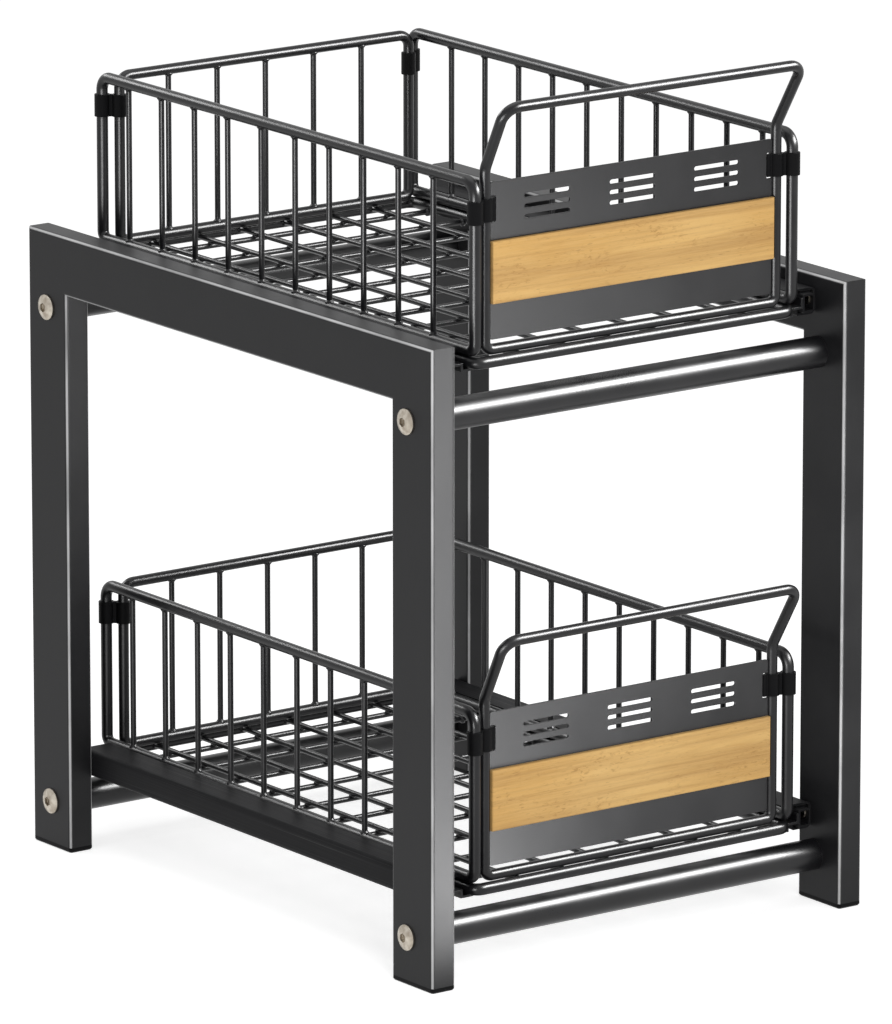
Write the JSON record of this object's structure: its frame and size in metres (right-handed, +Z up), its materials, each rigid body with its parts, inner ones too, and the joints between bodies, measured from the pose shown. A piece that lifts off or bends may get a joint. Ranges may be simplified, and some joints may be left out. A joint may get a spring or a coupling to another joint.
{
  "type": "pull-out cabinet basket",
  "caption": "Two-tier organiser: a tube frame with side slides that carry two pull-out wire baskets, each with a slotted front plate, a wooden strip and a wire handle.",
  "frame": {"origin": "centre of the overall box in plan, on the floor under the foot caps", "axes": "+X to the right side frame, -Y to the front where the handles are, +Z up"},
  "size_m": [0.314, 0.4046, 0.5063],
  "materials": {
    "frame_paint": "satin black powder coat on steel tube",
    "slide_paint": "satin black coated slide steel",
    "wire_coat": "semi-gloss black coated wire",
    "plate_paint": "satin dark grey sheet steel",
    "bamboo": "light honey wood, clear matt lacquer",
    "bolt_steel": "zinc-plated fastener",
    "black_plastic": "moulded black plastic"
  },
  "bodies": {
    "frame": {"left_front_leg": "frame_paint", "left_rear_leg": "frame_paint", "left_top_rail": "frame_paint", "left_frame_bolts": "bolt_steel", "right_front_leg": "frame_paint", "right_rear_leg": "frame_paint", "right_top_rail": "frame_paint", "right_frame_bolts": "bolt_steel", "foot_caps": "black_plastic", "crossbar_inserts": "bolt_steel", "front_lower_crossbar": "frame_paint", "rear_lower_crossbar": "frame_paint", "front_upper_crossbar": "frame_paint", "rear_upper_crossbar": "frame_paint", "lower_left_channel": "slide_paint", "lower_right_channel": "slide_paint", "lower_channel_screws": "bolt_steel", "lower_channel_shoes": "black_plastic", "upper_left_channel": "slide_paint", "upper_right_channel": "slide_paint", "upper_channel_screws": "bolt_steel", "upper_channel_shoes": "black_plastic"},
    "lower_basket": {"lower_base_grid": "wire_coat", "lower_back_panel": "wire_coat", "lower_handle_loop": "wire_coat", "lower_front_plate": "plate_paint", "lower_wood_strip": "bamboo", "lower_strip_screws": "bolt_steel", "lower_corner_clips": "black_plastic", "lower_runner_glides": "black_plastic", "lower_bracket_rivets": "bolt_steel", "lower_left_side_panel": "wire_coat", "lower_left_runner": "slide_paint", "lower_left_brackets": "wire_coat", "lower_right_side_panel": "wire_coat", "lower_right_runner": "slide_paint", "lower_right_brackets": "wire_coat"},
    "upper_basket": {"upper_base_grid": "wire_coat", "upper_back_panel": "wire_coat", "upper_handle_loop": "wire_coat", "upper_front_plate": "plate_paint", "upper_wood_strip": "bamboo", "upper_strip_screws": "bolt_steel", "upper_corner_clips": "black_plastic", "upper_runner_glides": "black_plastic", "upper_bracket_rivets": "bolt_steel", "upper_left_side_panel": "wire_coat", "upper_left_runner": "slide_paint", "upper_left_brackets": "wire_coat", "upper_right_side_panel": "wire_coat", "upper_right_runner": "slide_paint", "upper_right_brackets": "wire_coat"}
  },
  "joints": [
    {"name": "upper_basket_slide", "type": "slide", "parent": "frame", "child": "upper_basket", "axis": [0, -1, 0], "range_m": [0, 0.27]},
    {"name": "lower_basket_slide", "type": "slide", "parent": "frame", "child": "lower_basket", "axis": [0, -1, 0], "range_m": [0, 0.27]}
  ]
}
